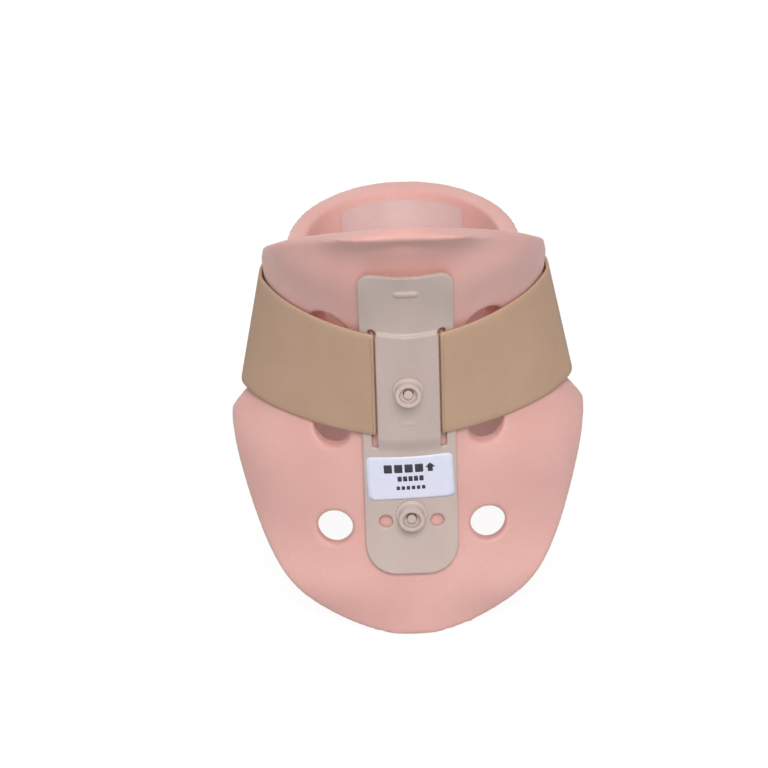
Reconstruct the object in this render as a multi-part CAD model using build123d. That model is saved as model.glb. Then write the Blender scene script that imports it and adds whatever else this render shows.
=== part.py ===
"""Two-piece foam cervical collar, child size, standing closed on its lower edges.

Frame: +Z up, +Y towards the wearer's chin, +X to the wearer's right.
Heights in the tables below are measured from the waist, the middle of the strap.
The finished part is moved so that its lowest point is at Z = 0 and its box is
centred over the origin.
"""
from build123d import *
from functools import lru_cache
from math import cos, pi, sin, sqrt
import os

# ---- driving dimensions, in millimetres ------------------------------------
WAIST_HEIGHT = 115.0            # from the standing edge up to the middle of the strap
BOX_CENTRE_Y = -0.7             # middle of the collar's box, from the working origin

FOAM_THICKNESS = 7.5
VENT_DIAMETER = 14.4
VENT_SIDE = 31.0                # vents stand this far each side of the middle
BACK_VENT_HEIGHTS = (19.5, -26.7, -68.4)
BACK_VENT_TILTS = (0.0, 0.0, 12.0)      # the lowest pair rises outwards, square to the wall
FRONT_VENT_HEIGHT = -46.0

# back half: height, half width, depth behind BACK_CENTRE_Y, roundness of the plan
BACK_CENTRE_Y = 3.5
BACK_STATIONS = (
    (92, 56.0, 83.5, 2.0),
    (70, 56.2, 75.0, 2.0),
    (50, 57.0, 66.5, 1.95),
    (36, 57.8, 61.2, 1.75),
    (25, 57.0, 58.5, 1.6),
    (12, 53.6, 56.0, 1.7),
    (0, 51.4, 54.0, 1.85),
    (-12, 55.5, 52.0, 1.85),
    (-25, 63.8, 50.3, 1.75),
    (-37, 72.8, 49.2, 2.0),
    (-58, 74.2, 49.0, 2.3),
    (-83, 76.0, 52.5, 2.4),
    (-100, 77.0, 56.0, 2.4),
    (-118, 77.0, 60.5, 2.4),
)
WING_END_Y = 4.0                # the back half's wings stop here
TOP_EDGE_HEIGHT = 37.9          # height of the sloping top edge where Y is 0
TOP_EDGE_SLOPE = 0.531          # rise towards the back of the head
BACK_SHOULDER_RADIUS = 20.0
FRONT_WING_RADIUS = 12.0
TONGUE_OUTLINE = [(72.6, -37), (67.7, -58), (58.3, -83), (43.8, -100), (24.6, -111), (0.0, -115)]

# front half, which nests inside the back half's wings
FRONT_CENTRE_Y = 5.0
FRONT_STATIONS = (
    (42, 49.0, 60.5, 2.0),
    (35, 47.5, 58.0, 2.0),
    (25, 45.7, 53.0, 2.0),
    (12, 43.3, 48.0, 2.0),
    (0, 42.3, 45.0, 2.0),
    (-12, 43.0, 44.0, 2.0),
    (-25, 45.2, 44.5, 2.0),
    (-40, 49.0, 47.0, 2.1),
    (-60, 54.0, 51.5, 2.2),
    (-85, 58.0, 58.0, 2.2),
    (-118, 61.0, 66.5, 2.2),
)
FRONT_RIM_HEIGHT = 35.6
FRONT_WING_END_Y = -15.0
BIB_HALF_WIDTH = 30.0           # flat lower edge that the collar stands on

# moulded struts
STRUT_THICKNESS = 2.2
STRUT_WIDTH = 37.6
STRUT_TOP_CORNER = 5.5
STRUT_BOTTOM_CORNER = 12.0
BACK_STRUT_TOP = 55.4
BACK_STRUT_BOTTOM = -87.0
FRONT_STRUT_TOP = 22.0
FRONT_STRUT_BOTTOM = -96.0
TRACHEA_DIAMETER = 25.0
TRACHEA_HEIGHT = -32.0
TRACHEA_MARGIN = 3.0            # the foam's opening is wider than the strut's

# strap and the bridge of the strut that it passes behind
STRAP_WIDTH = 49.2
STRAP_THICKNESS = 1.4
SLOT_CENTRE = 13.8
SLOT_WIDTH = 2.2
SLOT_TOP = 24.3
SLOT_BOTTOM = -31.0
SLOT_EYE_DIAMETER = 3.2
BRIDGE_RISE = 1.8
BRIDGE_TOP_HEIGHT = 24.9        # the bridge lifts off the plate below this, between the slots
BRIDGE_OVERLAP = 1.3            # how far it lies over the plate at each end
STRAP_TUCK = 1.2                # the strap's upper edge dips by this behind the bridge
STRAP_STATIONS = (              # the strap's straight-sided cone, laid out like the foam's
    (STRAP_WIDTH / 2, 58.8, 63.6, 1.53),
    (-STRAP_WIDTH / 2, 68.2, 55.6, 1.53),
)
STRAP_END_GAP = 0.4             # between the fixed strap and each peeling end
PEEL_START_ANGLE = 42.0         # plan angle where an end lands on the front half
PEEL_END_ANGLE = 61.0
PEEL_CLEARANCE = 0.6

# hook tabs on the strap ends and the loop patches that they stick to
TAB_THICKNESS = 1.0
PATCH_THICKNESS = 1.2
PATCH_HEIGHT = 28.0

# rivets that hold each strut to its foam
RIVET_FLANGE_DIAMETER = 12.4
RIVET_FLANGE_THICKNESS = 1.0
RIVET_BARREL_DIAMETER = 10.4
RIVET_HEIGHT = 5.4
RIVET_RECESS_DIAMETER = 7.2
RIVET_RECESS_DEPTH = 2.4
RIVET_POST_DIAMETER = 3.7
RIVET_BACKING_DIAMETER = 14.0
RIVET_BACKING_THICKNESS = 1.2
BACK_RIVET_HEIGHTS = {"upper": -1.0, "lower": -61.2}
FRONT_RIVET_HEIGHTS = {"upper": 1.0, "lower": -78.0}
STRUT_HOLE_DIAMETER = 5.6
STRUT_HOLE_SIDE = 10.4          # the two small holes stand this far each side of the middle
STRUT_HOLE_HEIGHT = -64.6

# small details and labels
BAR_SIZE = (9.0, 2.0)
BAR_HEIGHT = 46.2
MARK_SIDE = 6.5
MARK_HEIGHT = -15.0
LABEL_SIZE = (35.1, 19.8)
LABEL_THICKNESS = 0.3
BACK_LABEL_HEIGHT = -44.5
FRONT_LABEL_HEIGHT = -56.0
INNER_LABEL_SIZE = (50.0, 20.0)
INNER_LABEL_HEIGHT = 21.4


BRIDGE_TOP = BRIDGE_RISE + STRUT_THICKNESS
POST_HOLE_DIAMETER = RIVET_POST_DIAMETER + 0.4
RIVET_POST_SETBACK = 0.8        # the post ends this far below the barrel's rim
BIB_CORNER_RADIUS = 16.0
TAB_OUTER_X = 34.0
PATCH_INNER_X = 22.0
PATCH_OUTER_X = 37.0

FAR = 200.0                     # reaches past the whole collar
SECTION_POINTS = 28


# ---- the foam's surfaces ------------------------------------------------------
def plan_point(half_width, depth, roundness, centre_y, angle):
    """A point of a rounded plan outline; angle 0 is +X and 90 degrees is +Y."""
    c, s = cos(angle * pi / 180), sin(angle * pi / 180)
    x = half_width * abs(c) ** (2 / roundness) * (1 if c >= 0 else -1)
    y = depth * abs(s) ** (2 / roundness) * (1 if s >= 0 else -1)
    return x, centre_y + y


def plan_face(half_width, depth, roundness, centre_y, height):
    step = 360 / SECTION_POINTS
    points = [
        (*plan_point(half_width, depth, roundness, centre_y, i * step), height)
        for i in range(SECTION_POINTS)
    ]
    return Face(Wire([Edge.make_spline(points, periodic=True)]))


def normal_stretch(stations, index, column):
    """How far level thickness grows because the wall leans at this station."""
    below = stations[min(index + 1, len(stations) - 1)]
    above = stations[max(index - 1, 0)]
    slope = (above[column] - below[column]) / (above[0] - below[0])
    return sqrt(1 + slope * slope)


@lru_cache(maxsize=None)
def foam_envelope(stations, centre_y, grow=0.0):
    """Solid inside the foam's outer surface, grown outwards by a wall thickness."""
    faces = []
    for index, (height, half_width, depth, roundness) in enumerate(stations):
        wide = half_width + grow * normal_stretch(stations, index, 1)
        deep = depth + grow * normal_stretch(stations, index, 2)
        faces.append(plan_face(wide, deep, roundness, centre_y, height))
    return loft(faces)


@lru_cache(maxsize=None)
def layer(stations, centre_y, inner, outer):
    """Closed sleeve between two distances from the foam's outer surface."""
    return foam_envelope(stations, centre_y, outer) - foam_envelope(stations, centre_y, inner)


def station_at(stations, height):
    """Half width, depth and roundness at any height, between the two stations around it."""
    for above, below in zip(stations, stations[1:]):
        if below[0] <= height <= above[0]:
            share = (height - below[0]) / (above[0] - below[0])
            return [low + share * (high - low) for low, high in zip(below[1:], above[1:])]
    raise ValueError("height outside the stations")


def reach(outline, side):
    """An outline drawn in X and Z, extruded to the back (side -1) or the front (side 1)."""
    return extrude(Plane.XZ * outline, amount=-side * FAR)


def bore(diameter, x, height, side):
    return reach(Pos(x, height) * Circle(diameter / 2), side)


def back_vent(x, height, tilt):
    """Vent of the back half whose axis rises outwards by a tilt in degrees."""
    depth = station_at(BACK_STATIONS, height)[1]
    hinge = Pos(0, BACK_CENTRE_Y - depth, height)
    return hinge * Rot(-tilt, 0, 0) * hinge.inverse() * bore(VENT_DIAMETER, x, height, -1)


def bar(width, top, bottom, top_corner, bottom_corner):
    """Upright bar with its own corner radius at each end."""
    sketch = Pos(0, (top + bottom) / 2) * Rectangle(width, top - bottom)
    sketch = fillet(sketch.vertices().sort_by(Axis.Y)[:2], bottom_corner)
    return fillet(sketch.vertices().sort_by(Axis.Y)[-2:], top_corner)


BACK_FOAM = {"stations": BACK_STATIONS, "centre_y": BACK_CENTRE_Y}
FRONT_FOAM = {"stations": FRONT_STATIONS, "centre_y": FRONT_CENTRE_Y}


# ---- foam shells ----------------------------------------------------------------
def back_foam_shell():
    shell = layer(**BACK_FOAM, inner=-FOAM_THICKNESS, outer=0)
    top_at_wing = TOP_EDGE_HEIGHT - TOP_EDGE_SLOPE * WING_END_Y
    top_at_back = TOP_EDGE_HEIGHT + TOP_EDGE_SLOPE * FAR
    side_view = Polygon(
        (WING_END_Y, top_at_wing), (WING_END_Y, -FAR), (-FAR, -FAR), (-FAR, top_at_back),
        align=None,
    )
    shoulder = side_view.vertices().group_by(Axis.X)[-1].sort_by(Axis.Y)[-1]
    side_view = fillet(shoulder, BACK_SHOULDER_RADIUS)
    shell &= extrude(Plane.YZ * side_view, amount=FAR, both=True)

    right = [(76, -18)] + TONGUE_OUTLINE
    left = [(-x, z) for x, z in reversed(right[:-1])]
    tongue = Spline(*right, *left)
    top = Polyline(tongue @ 1, (-76, FAR), (76, FAR), tongue @ 0)
    shell &= extrude(Plane.XZ * make_face(tongue + top), amount=FAR, both=True)

    for side in (-1, 1):
        for height, tilt in zip(BACK_VENT_HEIGHTS, BACK_VENT_TILTS):
            shell -= back_vent(side * VENT_SIDE, height, tilt)
    for height in BACK_RIVET_HEIGHTS.values():
        shell -= bore(POST_HOLE_DIAMETER, 0, height, -1)
    return shell


def front_foam_shell():
    shell = layer(**FRONT_FOAM, inner=-FOAM_THICKNESS, outer=0)
    side_view = Polygon(
        (FRONT_WING_END_Y, FRONT_RIM_HEIGHT), (FRONT_WING_END_Y, -20), (26, -72),
        (46, -WAIST_HEIGHT), (FAR, -WAIST_HEIGHT), (FAR, FRONT_RIM_HEIGHT), align=None,
    )
    corners = side_view.vertices().sort_by(Axis.X)
    side_view = fillet(corners[:3], FRONT_WING_RADIUS)
    shell &= extrude(Plane.YZ * side_view, amount=FAR, both=True)

    shoulder, foot = BIB_HALF_WIDTH + 30, BIB_HALF_WIDTH + 16
    bib = Polygon(
        (shoulder, FAR), (shoulder, -80), (foot, -WAIST_HEIGHT),
        (-foot, -WAIST_HEIGHT), (-shoulder, -80), (-shoulder, FAR), align=None,
    )
    bib = fillet(bib.vertices().sort_by(Axis.Y)[:2], BIB_CORNER_RADIUS)
    shell &= extrude(Plane.XZ * bib, amount=FAR, both=True)

    for side in (-1, 1):
        shell -= bore(VENT_DIAMETER, side * VENT_SIDE, FRONT_VENT_HEIGHT, 1)
    for height in FRONT_RIVET_HEIGHTS.values():
        shell -= bore(POST_HOLE_DIAMETER, 0, height, 1)
    shell -= bore(TRACHEA_DIAMETER + TRACHEA_MARGIN, 0, TRACHEA_HEIGHT, 1)
    return shell


# ---- struts ------------------------------------------------------------------------
def back_strut():
    outline = bar(
        STRUT_WIDTH, BACK_STRUT_TOP, BACK_STRUT_BOTTOM, STRUT_TOP_CORNER, STRUT_BOTTOM_CORNER
    )
    plate = layer(**BACK_FOAM, inner=0, outer=STRUT_THICKNESS) & reach(outline, -1)
    bridge_side = SLOT_CENTRE - SLOT_WIDTH / 2
    window_top = BRIDGE_TOP_HEIGHT - BRIDGE_OVERLAP
    window_middle = Pos(0, (window_top + SLOT_BOTTOM) / 2)
    plate -= reach(window_middle * Rectangle(2 * SLOT_CENTRE, window_top - SLOT_BOTTOM), -1)
    for side in (-1, 1):
        slot_middle = Pos(side * SLOT_CENTRE, (SLOT_TOP + SLOT_BOTTOM) / 2)
        plate -= reach(slot_middle * Rectangle(SLOT_WIDTH, SLOT_TOP - SLOT_BOTTOM), -1)
    bridge_outline = bar(
        2 * bridge_side, BRIDGE_TOP_HEIGHT, SLOT_BOTTOM - BRIDGE_OVERLAP, 0.6, 0.6
    )
    bridge = layer(**BACK_FOAM, inner=BRIDGE_RISE, outer=BRIDGE_RISE + STRUT_THICKNESS)
    strut = plate + (bridge & reach(bridge_outline, -1))

    raised_bar = Pos(0, BAR_HEIGHT) * RectangleRounded(*BAR_SIZE, 0.9)
    strut += layer(**BACK_FOAM, inner=1.0, outer=STRUT_THICKNESS + 0.8) & reach(raised_bar, -1)
    mark = Rectangle(MARK_SIDE, MARK_SIDE) - Rectangle(MARK_SIDE - 1.2, MARK_SIDE - 1.2)
    mark_layer = layer(**BACK_FOAM, inner=BRIDGE_TOP - 0.5, outer=BRIDGE_TOP + 0.25)
    strut += mark_layer & reach(Pos(0, MARK_HEIGHT) * mark, -1)

    for side in (-1, 1):
        strut -= bore(SLOT_EYE_DIAMETER, side * SLOT_CENTRE, SLOT_TOP, -1)
        strut -= bore(STRUT_HOLE_DIAMETER, side * STRUT_HOLE_SIDE, STRUT_HOLE_HEIGHT, -1)
    for height in BACK_RIVET_HEIGHTS.values():
        strut -= bore(POST_HOLE_DIAMETER, 0, height, -1)
    return strut


def front_strut():
    outline = bar(
        STRUT_WIDTH, FRONT_STRUT_TOP, FRONT_STRUT_BOTTOM, STRUT_TOP_CORNER, STRUT_BOTTOM_CORNER
    )
    strut = layer(**FRONT_FOAM, inner=0, outer=STRUT_THICKNESS) & reach(outline, 1)
    strut -= bore(TRACHEA_DIAMETER, 0, TRACHEA_HEIGHT, 1)
    for height in FRONT_RIVET_HEIGHTS.values():
        strut -= bore(POST_HOLE_DIAMETER, 0, height, 1)
    return strut


# ---- rivets ------------------------------------------------------------------------
def rivet_end(foam, height, seat, side):
    """Y of a rivet barrel's outer end, standing on a surface seat mm proud of the foam."""
    depth = station_at(foam["stations"], height)[1]
    return foam["centre_y"] + side * (depth + seat + RIVET_HEIGHT)


def rivet_socket(foam, height, seat, side):
    """Moulded socket: a flange on the strut and a barrel with a ring-shaped recess."""
    flange = layer(**foam, inner=seat, outer=seat + RIVET_FLANGE_THICKNESS)
    flange &= bore(RIVET_FLANGE_DIAMETER, 0, height, side)
    end = rivet_end(foam, height, seat, side)
    barrel = rod_along_y(RIVET_BARREL_DIAMETER, height, 0, end)
    barrel -= foam_envelope(**foam, grow=seat)
    recess = rod_along_y(RIVET_RECESS_DIAMETER, height, end - side * RIVET_RECESS_DEPTH, end)
    return flange + barrel - recess - bore(POST_HOLE_DIAMETER, 0, height, side)


def rivet_post(foam, height, seat, side):
    """Post pushed through the foam from inside, with a backing disc shaped to it."""
    disc = layer(**foam, inner=-FOAM_THICKNESS - RIVET_BACKING_THICKNESS, outer=-FOAM_THICKNESS)
    disc &= bore(RIVET_BACKING_DIAMETER, 0, height, side)
    depth = station_at(foam["stations"], height)[1]
    start = foam["centre_y"] + side * (depth - FOAM_THICKNESS - RIVET_BACKING_THICKNESS / 2)
    end = rivet_end(foam, height, seat, side) - side * RIVET_POST_SETBACK
    return disc + rod_along_y(RIVET_POST_DIAMETER, height, start, end)


def rod_along_y(diameter, height, start, end):
    rod = extrude(Plane.XZ * Pos(0, height) * Circle(diameter / 2), amount=start - end)
    return Pos(0, start, 0) * rod


# ---- strap, tabs and patches -------------------------------------------------------
def strap_back():
    """Strap from flank to flank, dipping through both slots and behind the bridge."""
    cone = {"stations": STRAP_STATIONS, "centre_y": BACK_CENTRE_Y}
    half = STRAP_THICKNESS / 2
    inside, outside = SLOT_CENTRE - half, SLOT_CENTRE + half
    tucked = Pos(0, -STRAP_TUCK / 2) * Rectangle(2 * outside, STRAP_WIDTH - STRAP_TUCK)
    strap = layer(**BACK_FOAM, inner=0, outer=STRAP_THICKNESS) & reach(tucked, -1)
    sides = layer(**cone, inner=-STRAP_THICKNESS, outer=0)
    sides -= Pos(0, FAR / 2 + WING_END_Y, 0) * Box(2 * FAR, FAR, FAR)
    strap += sides - Box(2 * inside, 2 * FAR, FAR)
    dip = foam_envelope(**cone) - foam_envelope(**BACK_FOAM)
    for side in (-1, 1):
        dip_outline = Pos(side * SLOT_CENTRE, 0) * Rectangle(STRAP_THICKNESS, STRAP_WIDTH)
        strap += dip & reach(dip_outline, -1)
    return strap - bore(POST_HOLE_DIAMETER, 0, BACK_RIVET_HEIGHTS["upper"], -1)


def peel_curve(height, offset):
    """Plan curve of a strap end: straight ahead from the flank, then round the front half."""
    half_width, depth, roundness = station_at(FRONT_STATIONS, height)
    flank = station_at(STRAP_STATIONS, height)[0] - STRAP_THICKNESS + offset
    start = (flank, WING_END_Y + STRAP_END_GAP, height)
    wide = half_width + PEEL_CLEARANCE + offset
    deep = depth + PEEL_CLEARANCE + offset
    steps = 4
    landing = [
        PEEL_START_ANGLE + i * (PEEL_END_ANGLE - PEEL_START_ANGLE) / steps
        for i in range(steps + 1)
    ]
    points = [
        (*plan_point(wide, deep, roundness, FRONT_CENTRE_Y, angle), height) for angle in landing
    ]
    last = landing[-1] * pi / 180
    tangents = [(0, 1, 0), (-wide * sin(last), deep * cos(last), 0)]
    return Edge.make_spline([start] + points, tangents=tangents)


def peel_band(inner, outer):
    """Band along the strap end between two distances from the strap's inner face."""
    faces = []
    for height in (-STRAP_WIDTH / 2, STRAP_WIDTH / 2):
        near, far = peel_curve(height, inner), peel_curve(height, outer)
        ends = [Edge.make_line(near @ 0, far @ 0), Edge.make_line(near @ 1, far @ 1)]
        faces.append(Face(Wire([near, ends[1], far, ends[0]])))
    return loft(faces, ruled=True)


def strap_end_right():
    return peel_band(0, STRAP_THICKNESS)


def hook_tab_right():
    tab = peel_band(-TAB_THICKNESS, 0)
    return tab & (Pos(TAB_OUTER_X / 2, 0, 0) * Box(TAB_OUTER_X, 2 * FAR, PATCH_HEIGHT))


def loop_patch_right():
    width = PATCH_OUTER_X - PATCH_INNER_X
    outline = Pos((PATCH_OUTER_X + PATCH_INNER_X) / 2, 0) * RectangleRounded(width, PATCH_HEIGHT, 3)
    return layer(**FRONT_FOAM, inner=0, outer=PATCH_THICKNESS) & reach(outline, 1)


# ---- labels ------------------------------------------------------------------------
def label(foam, seat, height, size, side):
    outline = Pos(0, height) * RectangleRounded(*size, 2)
    return layer(**foam, inner=seat, outer=seat + LABEL_THICKNESS) & reach(outline, side)


def rivets():
    parts = {}
    for place, height in BACK_RIVET_HEIGHTS.items():
        seat = BRIDGE_TOP if place == "upper" else STRUT_THICKNESS
        parts[f"back_{place}_rivet_socket"] = rivet_socket(BACK_FOAM, height, seat, -1)
        parts[f"back_{place}_rivet_post"] = rivet_post(BACK_FOAM, height, seat, -1)
    for place, height in FRONT_RIVET_HEIGHTS.items():
        parts[f"front_{place}_rivet_socket"] = rivet_socket(FRONT_FOAM, height, STRUT_THICKNESS, 1)
        parts[f"front_{place}_rivet_post"] = rivet_post(FRONT_FOAM, height, STRUT_THICKNESS, 1)
    return parts


def handed_pairs():
    parts = {}
    pairs = {"strap_end": strap_end_right, "hook_tab": hook_tab_right, "loop_patch": loop_patch_right}
    for name, make in pairs.items():
        right = make()
        parts[f"{name}_right"] = right
        parts[f"{name}_left"] = mirror(right, about=Plane.YZ)
    return parts


def collar():
    parts = {
        "back_foam_shell": back_foam_shell(),
        "back_strut": back_strut(),
        "back_label": label(BACK_FOAM, STRUT_THICKNESS, BACK_LABEL_HEIGHT, LABEL_SIZE, -1),
        "strap_back": strap_back(),
        "front_foam_shell": front_foam_shell(),
        "front_strut": front_strut(),
        "front_label": label(FRONT_FOAM, STRUT_THICKNESS, FRONT_LABEL_HEIGHT, LABEL_SIZE, 1),
        "front_inner_label": label(
            FRONT_FOAM, -FOAM_THICKNESS - LABEL_THICKNESS, INNER_LABEL_HEIGHT, INNER_LABEL_SIZE, 1
        ),
    }
    parts.update(rivets())
    parts.update(handed_pairs())
    return parts


os.makedirs("parts", exist_ok=True)
to_stand = Pos(0, -BOX_CENTRE_Y, WAIST_HEIGHT)
for node, shape in collar().items():
    export_step(to_stand * shape, f"parts/{node}.step")
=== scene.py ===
# Looks of the two-piece foam cervical collar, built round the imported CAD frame.
# Lengths are in metres. +Z is up, +Y is towards the wearer's chin.

import math

import bmesh
import bpy
import numpy as np
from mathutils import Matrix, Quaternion, Vector
from mathutils.bvhtree import BVHTree


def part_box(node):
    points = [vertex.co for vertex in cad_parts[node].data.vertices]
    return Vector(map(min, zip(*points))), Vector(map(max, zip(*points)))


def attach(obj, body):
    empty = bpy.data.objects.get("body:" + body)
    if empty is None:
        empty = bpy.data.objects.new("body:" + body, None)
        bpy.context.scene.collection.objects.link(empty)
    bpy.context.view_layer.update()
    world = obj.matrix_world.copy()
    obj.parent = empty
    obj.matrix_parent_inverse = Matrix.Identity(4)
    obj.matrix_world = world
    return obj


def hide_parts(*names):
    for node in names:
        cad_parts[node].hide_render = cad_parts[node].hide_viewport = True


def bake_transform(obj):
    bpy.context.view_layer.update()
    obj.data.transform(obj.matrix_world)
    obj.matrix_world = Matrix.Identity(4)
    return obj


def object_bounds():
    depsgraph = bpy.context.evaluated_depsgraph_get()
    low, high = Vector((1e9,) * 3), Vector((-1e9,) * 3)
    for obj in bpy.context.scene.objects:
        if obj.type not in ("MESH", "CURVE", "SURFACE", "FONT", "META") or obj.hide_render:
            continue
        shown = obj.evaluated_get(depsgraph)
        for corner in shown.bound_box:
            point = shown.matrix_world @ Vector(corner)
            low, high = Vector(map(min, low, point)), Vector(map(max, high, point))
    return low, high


MM = 0.001

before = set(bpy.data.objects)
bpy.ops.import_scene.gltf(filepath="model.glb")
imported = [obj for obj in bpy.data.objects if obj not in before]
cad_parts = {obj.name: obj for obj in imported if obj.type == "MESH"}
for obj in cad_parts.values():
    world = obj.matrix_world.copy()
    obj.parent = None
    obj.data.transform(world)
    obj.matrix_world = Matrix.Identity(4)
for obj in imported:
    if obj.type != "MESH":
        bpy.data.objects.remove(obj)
cad_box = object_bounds()

# ---- places read from the frame -------------------------------------------------
strap_low, strap_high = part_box("strap_back")
WAIST = (strap_low.z + strap_high.z) / 2
FLANK_Y = strap_high.y                  # the strap's ends peel from here
COLLAR_CENTRE = Vector((0, FLANK_Y, WAIST))

# ---- sizes that the CAD part has too ----------------------------------------------
FOAM_WALL = 7.5 * MM
TOP_EDGE_SLOPE = 0.531                  # rise of the back half's top edge, towards the back
STRUT_THICKNESS = 2.2 * MM
BRIDGE_RISE = 1.8 * MM
SLOT_X = 13.8 * MM                      # middle of each strap slot in the back strut
STRAP_THICKNESS = 1.4 * MM

# ---- camera and light: the camera looks from straight behind ------------------------
CAMERA_ELEVATION = math.radians(28)
CAMERA_ROLL = math.radians(-1.8)
CAMERA_DISTANCE = 1.9
CAMERA_LENS = 217.0                     # millimetres
CAMERA_TARGET = Vector((-9.5 * MM, 0, WAIST - 26.4 * MM))
KEY_PLACE = (0.12, -1.63, 1.59)         # behind the collar, above the camera
KEY_POWER = 35.0
FILL_PLACE = (-0.5, 1.5, 1.0)           # in front of the collar
FILL_POWER = 7.0
LIGHT_SIZE = 1.2
SKY_STRENGTH = 0.44
GROUND_STRENGTH = 0.42
FLOOR_GLOW = 0.92
FLOOR_SIZE = 30
FLOOR_GAP = 0.2 * MM                    # between the floor and the collar's lower edges

# ---- fineness of the remeshed pieces: voxel, and rounds of smoothing ----------------
FOAM_VOXEL, FOAM_ROUNDS = 0.9 * MM, 16
STRUT_VOXEL, STRUT_ROUNDS = 0.4 * MM, 4
RIVET_VOXEL, RIVET_ROUNDS = 0.22 * MM, 3
TAPE_VOXEL, TAPE_ROUNDS = 0.3 * MM, 2


def make_camera():
    camera = bpy.data.cameras.new("camera")
    camera.lens = CAMERA_LENS
    camera.clip_start = 0.05
    holder = bpy.data.objects.new("camera", camera)
    bpy.context.scene.collection.objects.link(holder)
    outward = Vector((0, -math.cos(CAMERA_ELEVATION), math.sin(CAMERA_ELEVATION)))
    holder.location = CAMERA_TARGET + outward * CAMERA_DISTANCE
    level = (-outward).to_track_quat("-Z", "Y")
    holder.rotation_mode = "QUATERNION"
    holder.rotation_quaternion = level @ Quaternion((0, 0, 1), CAMERA_ROLL)
    bpy.context.scene.camera = holder


def area_light(name, place, power):
    """Round soft light, aimed at the collar."""
    light = bpy.data.lights.new(name, "AREA")
    light.shape = "DISK"
    light.size = LIGHT_SIZE
    light.energy = power
    holder = bpy.data.objects.new(name, light)
    bpy.context.scene.collection.objects.link(holder)
    holder.location = place
    holder.rotation_mode = "QUATERNION"
    holder.rotation_quaternion = (COLLAR_CENTRE - Vector(place)).to_track_quat("-Z", "Y")


def make_sky():
    """Even soft light from all round, white at the horizon as in a bare studio."""
    world = bpy.data.worlds.new("studio")
    bpy.context.scene.world = world
    world.use_nodes = True
    nodes, links = world.node_tree.nodes, world.node_tree.links
    direction = nodes.new("ShaderNodeTexCoord")
    split = nodes.new("ShaderNodeSeparateXYZ")
    glow = nodes.new("ShaderNodeValToRGB")
    spread = nodes.new("ShaderNodeMapRange")
    spread.inputs["From Min"].default_value = -1.0
    ramp = glow.color_ramp
    ground = ((0.0, GROUND_STRENGTH), (0.46, GROUND_STRENGTH))
    stops = (*ground, (0.5, 1.0), (0.54, SKY_STRENGTH))
    for place, level in stops[1:-1]:
        ramp.elements.new(place)
    for stop, (place, level) in zip(ramp.elements, stops):
        stop.position = place
        stop.color = (level, level, level, 1)
    links.new(direction.outputs["Generated"], split.inputs["Vector"])
    links.new(split.outputs["Z"], spread.inputs["Value"])
    links.new(spread.outputs["Result"], glow.inputs["Fac"])
    links.new(glow.outputs["Color"], nodes["Background"].inputs["Color"])


def make_studio():
    bpy.context.scene.view_settings.view_transform = "Standard"
    make_sky()
    area_light("key", KEY_PLACE, KEY_POWER)
    area_light("fill", FILL_PLACE, FILL_POWER)

    floor_height = cad_box[0][2] - FLOOR_GAP
    bpy.ops.mesh.primitive_plane_add(size=FLOOR_SIZE, location=(0, 0, floor_height))
    floor = bpy.context.object
    floor.name = "floor"
    pale = bpy.data.materials.new("pale_floor")
    pale.use_nodes = True
    shader = pale.node_tree.nodes["Principled BSDF"]
    shader.inputs["Base Color"].default_value = (0.12, 0.12, 0.12, 1)
    shader.inputs["Roughness"].default_value = 1.0
    shader.inputs["Specular IOR Level"].default_value = 0.0
    shader.inputs["Emission Color"].default_value = (1.0, 1.0, 1.0, 1)
    shader.inputs["Emission Strength"].default_value = FLOOR_GLOW
    floor.data.materials.append(pale)
    floor.visible_diffuse = False       # its glow whitens the picture but doesn't light the collar


# ---- material helpers -------------------------------------------------------------
def srgb(red, green, blue):
    """Linear colour for a colour given as it looks, 0 to 255."""
    def linear(value):
        share = value / 255
        return share / 12.92 if share <= 0.04045 else ((share + 0.055) / 1.055) ** 2.4
    return (linear(red), linear(green), linear(blue), 1.0)


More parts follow.
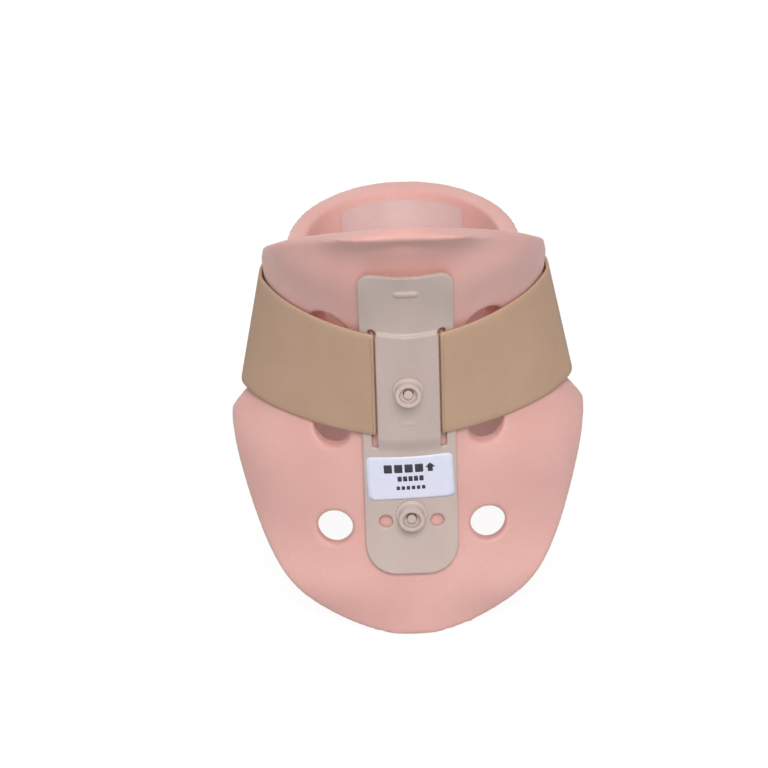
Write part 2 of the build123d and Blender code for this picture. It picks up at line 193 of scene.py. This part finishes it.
class Shader:
    """A Principled material with short calls for the node chains used here."""

    def __init__(self, name, **sockets):
        self.material = bpy.data.materials.new(name)
        self.material.use_nodes = True
        self.tree = self.material.node_tree
        self.out = self.tree.nodes["Principled BSDF"]
        for socket, value in sockets.items():
            self.out.inputs[socket.replace("_", " ")].default_value = value

    def node(self, kind, **settings):
        made = self.tree.nodes.new(kind)
        for key, value in settings.items():
            if hasattr(made, key):
                setattr(made, key, value)
            else:
                made.inputs[key.replace("_", " ")].default_value = value
        return made

    def link(self, source, target):
        self.tree.links.new(source, target)

    def coords(self, kind="Object"):
        return self.node("ShaderNodeTexCoord").outputs[kind]

    def noise(self, scale, detail=4.0, roughness=0.55, at=None, stretch=None):
        made = self.node("ShaderNodeTexNoise", Scale=scale, Detail=detail, Roughness=roughness)
        source = at or self.coords()
        if stretch:
            mapping = self.node("ShaderNodeMapping", Scale=stretch)
            self.link(source, mapping.inputs["Vector"])
            source = mapping.outputs["Vector"]
        self.link(source, made.inputs["Vector"])
        return made.outputs["Fac"]

    def ramp(self, source, low, high, low_value, high_value):
        made = self.node("ShaderNodeMapRange", From_Min=low, From_Max=high)
        made.inputs["To Min"].default_value = low_value
        made.inputs["To Max"].default_value = high_value
        self.link(source, made.inputs["Value"])
        return made.outputs["Result"]

    def mix(self, share, first, second, blend="MIX"):
        made = self.node("ShaderNodeMix", data_type="RGBA", blend_type=blend)
        for index, value in ((6, first), (7, second)):
            if isinstance(value, tuple):
                made.inputs[index].default_value = value
            else:
                self.link(value, made.inputs[index])
        if isinstance(share, float):
            made.inputs[0].default_value = share
        else:
            self.link(share, made.inputs[0])
        return made.outputs[2]

    def colour(self, source):
        self.link(source, self.out.inputs["Base Color"])

    def roughness(self, source):
        self.link(source, self.out.inputs["Roughness"])

    def bump(self, height, strength, distance, after=None):
        made = self.node("ShaderNodeBump", Strength=strength, Distance=distance)
        self.link(height, made.inputs["Height"])
        if after:
            self.link(after, made.inputs["Normal"])
        self.link(made.outputs["Normal"], self.out.inputs["Normal"])
        return made.outputs["Normal"]


# ---- materials --------------------------------------------------------------------
def foam_material():
    """Closed-cell foam: soft moulded skin, faint mottling, fine pores."""
    m = Shader("foam_skin", Roughness=0.62, Subsurface_Weight=0.12, Subsurface_Scale=0.004)
    m.out.inputs["Subsurface Radius"].default_value = (1.0, 0.42, 0.3)
    m.out.inputs["Sheen Weight"].default_value = 0.12
    m.out.inputs["Sheen Roughness"].default_value = 0.5
    cloudy = m.ramp(m.noise(28, 3, 0.5), 0.35, 0.68, 0, 1)
    base = m.mix(cloudy, srgb(221, 168, 160), srgb(228, 178, 170))
    fine = m.ramp(m.noise(900, 3, 0.6), 0.3, 0.75, 0, 0.35)
    m.colour(m.mix(fine, base, srgb(212, 156, 147)))
    m.roughness(m.ramp(m.noise(120, 3), 0.3, 0.7, 0.56, 0.72))
    skin = m.bump(m.noise(1500, 2, 0.6), 0.10, 0.0002)
    m.bump(m.noise(60, 2, 0.5), 0.12, 0.002, after=skin)
    return m.material


def plastic_material(name, colour, deep, roughness):
    """Satin moulded thermoplastic with a faint flow mottling, fine texture, and a painted highlight
    with edge wear on convex edges.
    """
    m = Shader(name, Roughness=roughness)
    m.out.inputs["Specular IOR Level"].default_value = 0.45
    flow = m.ramp(m.noise(45, 3, 0.55, stretch=(1.6, 1, 0.5)), 0.3, 0.7, 0, 1)
    body = m.mix(flow, colour, deep)
    # painted highlight: convex edges, ridges and rims are lightened towards pale, as if they catch
    # the light; it also stands for edge wear
    edge_highlight_and_wear = m.ramp(m.node("ShaderNodeNewGeometry").outputs["Pointiness"], 0.58, 0.68, 0, 0.5)
    m.colour(m.mix(edge_highlight_and_wear, body, srgb(232, 219, 211)))
    m.roughness(m.ramp(m.noise(300, 3), 0.3, 0.7, roughness - 0.05, roughness + 0.08))
    m.bump(m.noise(1100, 2), 0.06, 0.0002)
    return m.material


def webbing_material():
    """Fine woven tape: ribs along it, picks across it and a brushed nap."""
    m = Shader("strap_weave", Roughness=0.9)
    m.out.inputs["Sheen Weight"].default_value = 0.04
    m.out.inputs["Sheen Roughness"].default_value = 0.5
    m.out.inputs["Specular IOR Level"].default_value = 0.15
    uv = m.coords("UV")
    ribs = m.node("ShaderNodeTexWave", Scale=480.0, Distortion=0.6, bands_direction="X")
    picks = m.node("ShaderNodeTexWave", Scale=620.0, Distortion=0.8, bands_direction="Y")
    for wave in (ribs, picks):
        wave.inputs["Detail"].default_value = 1.0
        m.link(uv, wave.inputs["Vector"])
    product = m.node("ShaderNodeMath", operation="MULTIPLY")
    m.link(ribs.outputs["Fac"], product.inputs[0])
    m.link(picks.outputs["Fac"], product.inputs[1])
    cloudy = m.ramp(m.noise(35, 4, 0.6, at=uv), 0.3, 0.7, 0, 1)
    base = m.mix(cloudy, srgb(199, 166, 140), srgb(207, 174, 150))
    threads = m.ramp(product.outputs["Value"], 0, 1, 0.35, 0.0)
    m.colour(m.mix(threads, base, srgb(172, 139, 113)))
    nap = m.noise(2200, 3, 0.7, at=uv)
    weave = m.bump(product.outputs["Value"], 0.25, 0.0002)
    m.bump(nap, 0.2, 0.0002, after=weave)
    return m.material


def pile_material(name, colour, deep):
    """Hook or loop tape: a dense coarse pile."""
    m = Shader(name, Roughness=0.95)
    m.out.inputs["Sheen Weight"].default_value = 0.3
    grain = m.node("ShaderNodeTexVoronoi", Scale=1300.0)
    m.link(m.coords(), grain.inputs["Vector"])
    share = m.ramp(grain.outputs["Distance"], 0, 0.7, 0, 1)
    m.colour(m.mix(share, deep, colour))
    m.bump(share, 0.7, 0.0005)
    return m.material


def paper_material():
    """Coated label stock."""
    m = Shader("label_stock", Roughness=0.42)
    fibre = m.ramp(m.noise(260, 4, 0.6), 0.3, 0.7, 0, 1)
    m.colour(m.mix(fibre, srgb(219, 222, 241), srgb(225, 227, 244)))
    m.roughness(m.ramp(m.noise(400, 2), 0.3, 0.7, 0.38, 0.48))
    m.bump(m.noise(700, 3), 0.04, 0.0001)
    return m.material


def ink_material():
    m = Shader("label_ink", Roughness=0.5)
    worn = m.ramp(m.noise(900, 4, 0.7), 0.35, 0.75, 0, 0.35)
    m.colour(m.mix(worn, srgb(30, 30, 44), srgb(84, 84, 104)))
    return m.material


def film_material():
    """Milky adhesive film on the inside of the chin rest."""
    m = Shader("milky_film", Roughness=0.55)
    haze = m.ramp(m.noise(70, 4, 0.6), 0.3, 0.7, 0, 1)
    m.colour(m.mix(haze, srgb(208, 174, 171), srgb(217, 186, 183)))
    m.bump(m.noise(90, 3), 0.1, 0.0006)
    return m.material


# ---- mesh helpers -----------------------------------------------------------------
def piece_from(name, vertices, faces, uvs=None):
    mesh = bpy.data.meshes.new(name)
    mesh.from_pydata([tuple(v) for v in vertices], [], faces)
    if uvs is not None:
        layer = mesh.uv_layers.new(name="along_across")
        loops = np.zeros(len(mesh.loops), np.int32)
        mesh.loops.foreach_get("vertex_index", loops)
        layer.data.foreach_set("uv", np.asarray(uvs, np.float32)[loops].ravel())
    shape = bmesh.new()
    shape.from_mesh(mesh)
    bmesh.ops.recalc_face_normals(shape, faces=shape.faces)
    shape.to_mesh(mesh)
    shape.free()
    mesh.polygons.foreach_set("use_smooth", [True] * len(mesh.polygons))
    piece = bpy.data.objects.new(name, mesh)
    bpy.context.scene.collection.objects.link(piece)
    return piece


def apply_modifiers(piece):
    bpy.context.view_layer.update()
    graph = bpy.context.evaluated_depsgraph_get()
    mesh = bpy.data.meshes.new_from_object(piece.evaluated_get(graph))
    piece.modifiers.clear()
    piece.data = mesh
    mesh.polygons.foreach_set("use_smooth", [True] * len(mesh.polygons))


def remesh_evenly(piece, voxel):
    remesh = piece.modifiers.new("remesh", "REMESH")
    remesh.mode = "VOXEL"
    remesh.voxel_size = voxel
    apply_modifiers(piece)


def softened(node, name, voxel, rounds, reshape=None):
    """A fine, evenly meshed copy of a CAD node, reshaped if asked, with its edges rounded."""
    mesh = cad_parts[node].data.copy()
    mesh.materials.clear()
    piece = bpy.data.objects.new(name, mesh)
    bpy.context.scene.collection.objects.link(piece)
    weld = piece.modifiers.new("weld", "WELD")
    weld.merge_threshold = 1e-6
    remesh_evenly(piece, voxel)
    if reshape:
        reshape(piece)
        remesh_evenly(piece, voxel)
    smooth = piece.modifiers.new("smooth", "SMOOTH")
    smooth.factor = 0.5
    smooth.iterations = rounds
    apply_modifiers(piece)
    return piece


def finish_piece(piece, material, body, slot, *nodes):
    piece.data.materials.clear()
    piece.data.materials.append(material)
    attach(piece, body)
    if nodes:
        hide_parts(*nodes)


def tree_of(node):
    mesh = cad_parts[node].data
    points = [v.co.copy() for v in mesh.vertices]
    return BVHTree.FromPolygons(points, [tuple(p.vertices) for p in mesh.polygons])


def lengths_along(points):
    """Length of a path up to each of its points."""
    return np.r_[0, np.cumsum(np.linalg.norm(np.diff(points, axis=0), axis=1))]


def resample(points, count):
    """The same path with evenly spaced points."""
    steps = lengths_along(points)
    where = np.linspace(0, steps[-1], count)
    return np.stack([np.interp(where, steps, points[:, i]) for i in range(points.shape[1])], 1)


def relaxed(points, rounds):
    for _ in range(rounds):
        points[1:-1] = 0.25 * points[:-2] + 0.5 * points[1:-1] + 0.25 * points[2:]
    return points


def unit(vectors):
    return vectors / np.linalg.norm(vectors, axis=1)[:, None]


def bands(rings, count, base=0):
    """Faces between rings of points that follow one another from the point base on."""
    faces = []
    for ring in range(rings - 1):
        for k in range(count):
            after = (k + 1) % count
            a, b = base + ring * count, base + (ring + 1) * count
            faces.append((a + k, a + after, b + after, b + k))
    return faces


# ---- foam -------------------------------------------------------------------------
OUTWARD = 0.3                           # least share of a face's normal that points outwards
FLARE = math.radians(22)                # lean of the back half's wall under its top edge
LIP_DEPTH = 18 * MM                     # the lip's own shape fades out this far down
LIP_RAISE = 8.0 * MM                    # at the inner face, which the CAD cut leaves lower
LIP_CURL = 2.8 * MM
DENT_DEPTH = 5.0 * MM                   # hollow above the strut, under the lip
DENT_INSIDE = 0.4                       # share of it that shows on the inner face
DENT_HALF_WIDTH = 29 * MM
DENT_HEAD = 7 * MM                      # deepest from this far below the top edge
DENT_FADE = 12 * MM                     # down to here
DENT_END = 28 * MM                      # and gone here
# the tongue's edge in side view: height from the waist and Y limit, in millimetres
FLANK_EDGE = ((-116, -43), (-100, -36), (-83, -29), (-58, -16), (-37, 4.7))


def outer_wall(node):
    """Search tree of the faces of a shell that look away from the neck."""
    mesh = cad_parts[node].data
    points = [v.co.copy() for v in mesh.vertices]
    outward = []
    for face in mesh.polygons:
        away = (face.center - COLLAR_CENTRE) * Vector((1, 1, 0))
        if face.normal.dot(away.normalized()) > OUTWARD:
            outward.append(tuple(face.vertices))
    return BVHTree.FromPolygons(points, outward)


def eased(share):
    """Smooth step from 0 to 1."""
    share = min(max(share, 0.0), 1.0)
    return share * share * (3 - 2 * share)


def shape_lip(foam):
    """Square the top edge to the flared wall behind the head, curl it out and hollow it below."""
    wall = outer_wall("back_foam_shell")
    low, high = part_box("back_foam_shell")
    along_flare = Vector((0, 0, math.cos(FLARE)))
    for vertex in foam.data.vertices:
        point = vertex.co.copy()
        below = high.z - TOP_EDGE_SLOPE * (point.y - low.y) - point.z
        away = ((point - COLLAR_CENTRE) * Vector((1, 1, 0))).normalized()
        behind = max(0.0, -away.y) ** 1.5
        if behind == 0 or below > DENT_END:
            continue
        through = min(wall.find_nearest(point)[3] / FOAM_WALL, 1.0)
        near_top = min(max(1 - below / LIP_DEPTH, 0.0), 1.0)
        along_wall = away * math.sin(FLARE) + along_flare
        vertex.co += along_wall * (LIP_RAISE * through * eased(near_top) * behind)
        vertex.co += away * (LIP_CURL * near_top ** 2 * behind ** 2)
        across = eased(1 - abs(point.x) / DENT_HALF_WIDTH)
        down = eased(below / DENT_HEAD) * eased((DENT_END - below) / (DENT_END - DENT_FADE))
        fading = 1 - (1 - DENT_INSIDE) * through
        vertex.co -= away * (DENT_DEPTH * fading * across * down)


def square_flanks(foam):
    """Cut the tongue's sides square through the wall, where it would thin out to a feather."""
    heights, limits = np.array(FLANK_EDGE).T * MM
    for vertex in foam.data.vertices:
        height = vertex.co.z - WAIST
        if height < heights[-1]:
            vertex.co.y = min(vertex.co.y, float(np.interp(height, heights, limits)))


def shape_back(foam):
    """Everything that the back half's shell gets beyond its CAD shape."""
    shape_lip(foam)
    square_flanks(foam)


def make_foam(material):
    for half, reshape in (("back", shape_back), ("front", None)):
        foam = softened(f"{half}_foam_shell", f"{half}_foam", FOAM_VOXEL, FOAM_ROUNDS, reshape)
        finish_piece(foam, material, f"{half}_half", "foam", f"{half}_foam_shell")


# ---- moulded plastic --------------------------------------------------------------
RAMP_TOP = -25 * MM                     # heights from the waist, between which the bridge
BRIDGE_FOOT = -32.9 * MM                # comes down to the plate


def shape_bridge(strut):
    """Let the lower end of the bridge run smoothly into the plate."""
    wall = outer_wall("back_foam_shell")
    for vertex in strut.data.vertices:
        height = vertex.co.z - WAIST
        if abs(vertex.co.x) > SLOT_X or not BRIDGE_FOOT < height < RAMP_TOP:
            continue
        lift = wall.find_nearest(vertex.co)[3]
        above_plate = min(max(lift - STRUT_THICKNESS, 0.0) / BRIDGE_RISE, 1.0)
        down = eased((RAMP_TOP - height) / (RAMP_TOP - BRIDGE_FOOT))
        vertex.co.y += BRIDGE_RISE * down * above_plate


def make_plastics(plastic, rivet_plastic):
    for half, reshape in (("back", shape_bridge), ("front", None)):
        name = f"{half}_strut_moulding"
        strut = softened(f"{half}_strut", name, STRUT_VOXEL, STRUT_ROUNDS, reshape)
        finish_piece(strut, plastic, f"{half}_half", "strut_plastic", f"{half}_strut")
        for place in ("upper", "lower"):
            for part in ("socket", "post"):
                node = f"{half}_{place}_rivet_{part}"
                name = f"{half}_{place}_{part}_moulding"
                rivet = softened(node, name, RIVET_VOXEL, RIVET_ROUNDS)
                finish_piece(rivet, rivet_plastic, f"{half}_half", "rivet_plastic", node)


# ---- strap ------------------------------------------------------------------------
STRAP_TUCK = 1.2 * MM                   # the upper edge dips by this behind the bridge
STRAP_INSET = 0.3 * MM                  # the webbing is this much narrower at each edge
SLOT_BEND = 0.8 * MM                    # radius of the turn where the strap leaves a slot
SLOT_DEPTH = 3.3 * MM                   # how far in the strap's outer face goes there

SIDE_STATIONS, SIDE_ROUNDS = 170, 12    # points along a side's scanned path, and smoothing
FINE_STATIONS, FINE_ROUNDS = 620, 14    # the same for its whole path
MIDDLE_STATIONS = 40
MIDDLE_TRIM = 0.1 * MM                  # off each end of the stretch behind the bridge
MIDDLE_SQUEEZE = 0.97                   # keeps the rays inside the CAD strap's own edges

SCAN_ANGLES = (-88, 80, 0.5)            # first, last and step, in degrees from +X towards +Y
SCAN_START = 0.15                       # rays start this far out from the middle
SCAN_REACH = 0.12
BEHIND = -0.2                           # Y of a place behind every surface

WEBBING_ROWS = 24                       # across the flat face
FLAT_INSET = 1.2                        # in half thicknesses: the flat face ends this far in,
SHOULDER_INSET = 0.35                   # and the selvedge's shoulder is this far in
SHOULDER_HEIGHT = 0.62                  # and this far out from the middle of the thickness


def plan_hits(trees, height):
    """Outer surface of the strap's right side at one height, from its slot to its tip."""
    centre = Vector((0, FLANK_Y, height))
    hits = []
    for angle in np.radians(np.arange(*SCAN_ANGLES)):
        outward = Vector((math.cos(angle), math.sin(angle), 0))
        start = centre + outward * SCAN_START
        found = [tree.ray_cast(start, -outward, SCAN_REACH)[0] for tree in trees]
        found = [hit for hit in found if hit is not None]
        if found:
            hit = max(found, key=lambda point: (point - centre).length)
            if hit.x >= SLOT_X + SLOT_BEND - STRAP_THICKNESS / 2:
                hits.append((hit.x, hit.y))
    return np.array(hits)


def side_path(trees, height):
    """Path of the strap's outer face: out of the slot, round the flank, to the tip."""
    hits = resample(plan_hits(trees, height), SIDE_STATIONS)
    hits = relaxed(hits, SIDE_ROUNDS)
    first = hits[0]
    wall = SLOT_X - STRAP_THICKNESS / 2
    bend = [
        (
            wall + SLOT_BEND * (1 - math.cos(turn)),
            first[1] + SLOT_BEND * (1 - math.sin(turn)),
        )
        for turn in np.linspace(0, math.pi / 2, 9)
    ]
    dive = [(wall, first[1] + SLOT_DEPTH)]
    path = resample(np.array(dive + bend[:-1] + list(hits)), FINE_STATIONS)
    return np.c_[relaxed(path, FINE_ROUNDS), np.full(len(path), height)]


def middle_path(tree, height):
    """Path of the strap's outer face behind the bridge, from slot to slot."""
    reach = SLOT_X + STRAP_THICKNESS / 2
    points = []
    for x in np.linspace(-reach + MIDDLE_TRIM, reach - MIDDLE_TRIM, MIDDLE_STATIONS):
        start = Vector((x * MIDDLE_SQUEEZE, BEHIND, height))
        hit = tree.ray_cast(start, Vector((0, 1, 0)))[0]
        points.append((x, hit.y, height))
    return np.array(points)


def webbing_profile(width):
    """Section of the tape: across it from -1 to 1, and out of its middle from -1 to 1."""
    half_thickness, half_width = STRAP_THICKNESS / 2, width / 2
    flat = np.linspace(-1, 1, WEBBING_ROWS + 1) * (1 - FLAT_INSET * half_thickness / half_width)
    shoulder = 1 - SHOULDER_INSET * half_thickness / half_width
    profile = [(-1.0, 0.0), (-shoulder, SHOULDER_HEIGHT)] + [(w, 1.0) for w in flat]
    profile += [(shoulder, SHOULDER_HEIGHT), (1.0, 0.0)]
    return profile + [(w, -h) for w, h in reversed(profile[1:-1])]


def webbing(name, top, bottom):
    """Woven tape between two edge paths of its outer face, with rounded selvedges."""
    width = float(np.linalg.norm(top - bottom, axis=1).mean())
    profile = webbing_profile(width)
    middle = (top + bottom) / 2
    along = unit(np.gradient(middle, axis=0))
    outward = unit(np.cross(along, unit(top - bottom)))
    vertices, uvs = [], []
    for i, step in enumerate(lengths_along(middle)):
        for w, h in profile:
            share = (w + 1) / 2
            point = bottom[i] * (1 - share) + top[i] * share
            vertices.append(point + outward[i] * (STRAP_THICKNESS / 2) * (h - 1))
            uvs.append((step, w * width / 2))
    count = len(profile)
    faces = bands(len(top), count)
    faces.append(tuple(range(count)))
    faces.append(tuple((len(top) - 1) * count + k for k in range(count)))
    return piece_from(name, vertices, faces, uvs)


def make_strap(material):
    """Two sides that bend at the flanks, the left one mirrored, and a stretch behind the bridge."""
    heights = (strap_high.z - STRAP_INSET, strap_low.z + STRAP_INSET)
    back = tree_of("strap_back")
    right = [back, tree_of("strap_end_right")]
    for side, sign in (("right", 1), ("left", -1)):
        top, bottom = (side_path(right, height) for height in heights)
        for path in (top, bottom):
            path[:, 0] *= sign
        if sign < 0:
            top, bottom = top[::-1], bottom[::-1]
        band = webbing(f"strap_{side}", top, bottom)
        band.data.materials.append(material)
        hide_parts(f"strap_end_{side}")
        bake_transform(band)
    tucked = (heights[0] - STRAP_TUCK, heights[1])
    top, bottom = (middle_path(back, height) for height in tucked)
    middle = webbing("strap_middle", top, bottom)
    finish_piece(middle, material, "back_half", "strap_webbing", "strap_back")


def make_tapes(hook, loop):
    """Hook tabs on the strap's ends, and the loop patches that they stick to."""
    for side in ("right", "left"):
        node = f"hook_tab_{side}"
        tab = softened(node, f"hook_pad_{side}", TAPE_VOXEL, TAPE_ROUNDS)
        finish_piece(tab, hook, f"strap_end_{side}", "hook_tape", node)
        node = f"loop_patch_{side}"
        patch = softened(node, f"loop_pad_{side}", TAPE_VOXEL, TAPE_ROUNDS)
        finish_piece(patch, loop, "front_half", "loop_tape", node)


# ---- labels -----------------------------------------------------------------------
LABEL_THICKNESS = 0.28 * MM
LABEL_CORNER = 2 * MM
LABEL_TILT = math.radians(2)            # the back label is stuck on slightly askew
INK_LIFT = 0.27 * MM                    # the print's underside, just inside the label's face
INK_THICKNESS = 0.05 * MM
INK_CORNER = 0.3 * MM
RIM_DROP = 0.4                          # share of a plate's thickness that its rim is lower
OUTSIDE = 0.25                          # further out than any surface


def onto(tree, side, x, z):
    """Point of a surface seen from behind (side -1) or from the front (side 1)."""
    start = Vector((x, side * OUTSIDE, z))
    return tree.ray_cast(start, Vector((0, -side, 0)))[0]


def rounded_outline(width, height, radius, count=160):
    """Points round a rounded rectangle, evenly spread."""
    corners = []
    for quarter in range(4):
        start = quarter * math.pi / 2
        corner_x = math.copysign(width / 2 - radius, math.cos(start + math.pi / 4))
        corner_z = math.copysign(height / 2 - radius, math.sin(start + math.pi / 4))
        for turn in np.linspace(start, start + math.pi / 2, 9):
            corners.append((corner_x + radius * math.cos(turn), corner_z + radius * math.sin(turn)))
    corners.append(corners[0])
    return resample(np.array(corners), count + 1)[:-1]


def plate_on(name, tree, side, outline, centre, tilt, lift, thickness, rings=10):
    """A thin plate that follows a surface: rings from its middle out to its outline."""
    vertices = []
    turn_cos, turn_sin = math.cos(tilt), math.sin(tilt)
    for top in (True, False):
        for ring in range(1, rings + 1):
            share = ring / rings
            for x, z in outline:
                at_x = centre[0] + share * (x * turn_cos - z * turn_sin)
                at_z = centre[1] + share * (x * turn_sin + z * turn_cos)
                hit = onto(tree, side, at_x, at_z)
                out = lift + (thickness if top else 0)
                if top and ring == rings:
                    out -= thickness * RIM_DROP
                vertices.append((at_x, hit.y + side * out, at_z))
    count = len(outline)
    faces = []
    for base in (0, rings * count):
        faces.append(tuple(base + k for k in range(count)))
        faces += bands(rings, count, base)
    rim, lower = (rings - 1) * count, (2 * rings - 1) * count
    for k in range(count):
        after = (k + 1) % count
        faces.append((rim + k, rim + after, lower + after, lower + k))
    return piece_from(name, vertices, faces)


def print_marks(tilt):
    """Generic print, given in millimetres: an arrow that points up, three rows of plain blocks."""
    arrow = [(0, 2.2), (2.1, 0.0), (1.0, 0.0), (1.0, -1.9), (-1.0, -1.9), (-1.0, 0.0), (-2.1, 0.0)]
    marks = [("arrow", [(x * MM, z * MM) for x, z in arrow], (8.2, 4.4))]
    # name, count, width, height and pitch of the blocks in a row, and place of the first
    rows = [
        ("large", 4, 3.3, 3.9, 4.2, (-8.9, 4.4)),
        ("medium", 5, 1.7, 2.4, 2.2, (-4.4, -0.4)),
        ("small", 6, 1.4, 1.7, 2.05, (-5.2, -4.6)),
    ]
    for row, count, wide, tall, pitch, (start, height) in rows:
        for i in range(count):
            block = rounded_outline(wide * MM, tall * MM, INK_CORNER, count=40)
            marks.append((f"{row}_{i}", block, (start + i * pitch, height)))
    c, s = math.cos(tilt), math.sin(tilt)
    return [
        (name, outline, ((x * c - z * s) * MM, (x * s + z * c) * MM))
        for name, outline, (x, z) in marks
    ]


def make_labels(paper, ink, film):
    """A printed label on each strut, and the film, whose CAD node is kept as it is."""
    for half, side, tilt in (("back", -1, LABEL_TILT), ("front", 1, 0.0)):
        low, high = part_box(f"{half}_label")
        surface = tree_of(f"{half}_strut")
        centre = (0.0, (low.z + high.z) / 2)
        width, height = high.x - low.x, high.z - low.z
        outline = rounded_outline(width, height, LABEL_CORNER)
        plate = plate_on(
            f"{half}_label_plate", surface, side, outline, centre, tilt, 0.0, LABEL_THICKNESS
        )
        finish_piece(plate, paper, f"{half}_half", "label", f"{half}_label")
        for name, shape, (x, z) in print_marks(tilt):
            x = -x if side > 0 else x   # from the front, the print runs towards -X
            mark = plate_on(
                f"{half}_print_{name}", surface, side, shape, (x, centre[1] + z), tilt,
                INK_LIFT, INK_THICKNESS, rings=2,
            )
            finish_piece(mark, ink, f"{half}_half", "label")
    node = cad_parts["front_inner_label"]
    node.data.materials.clear()
    node.data.materials.append(film)


make_camera()
make_studio()
make_foam(foam_material())
make_plastics(
    plastic_material("strut_moulding", srgb(200, 182, 174), srgb(193, 174, 167), 0.42),
    plastic_material("rivet_moulding", srgb(206, 188, 180), srgb(199, 181, 173), 0.36),
)
make_strap(webbing_material())
make_tapes(
    pile_material("hook_pile", srgb(196, 170, 150), srgb(150, 122, 102)),
    pile_material("loop_pile", srgb(190, 160, 138), srgb(150, 118, 96)),
)
make_labels(paper_material(), ink_material(), film_material())
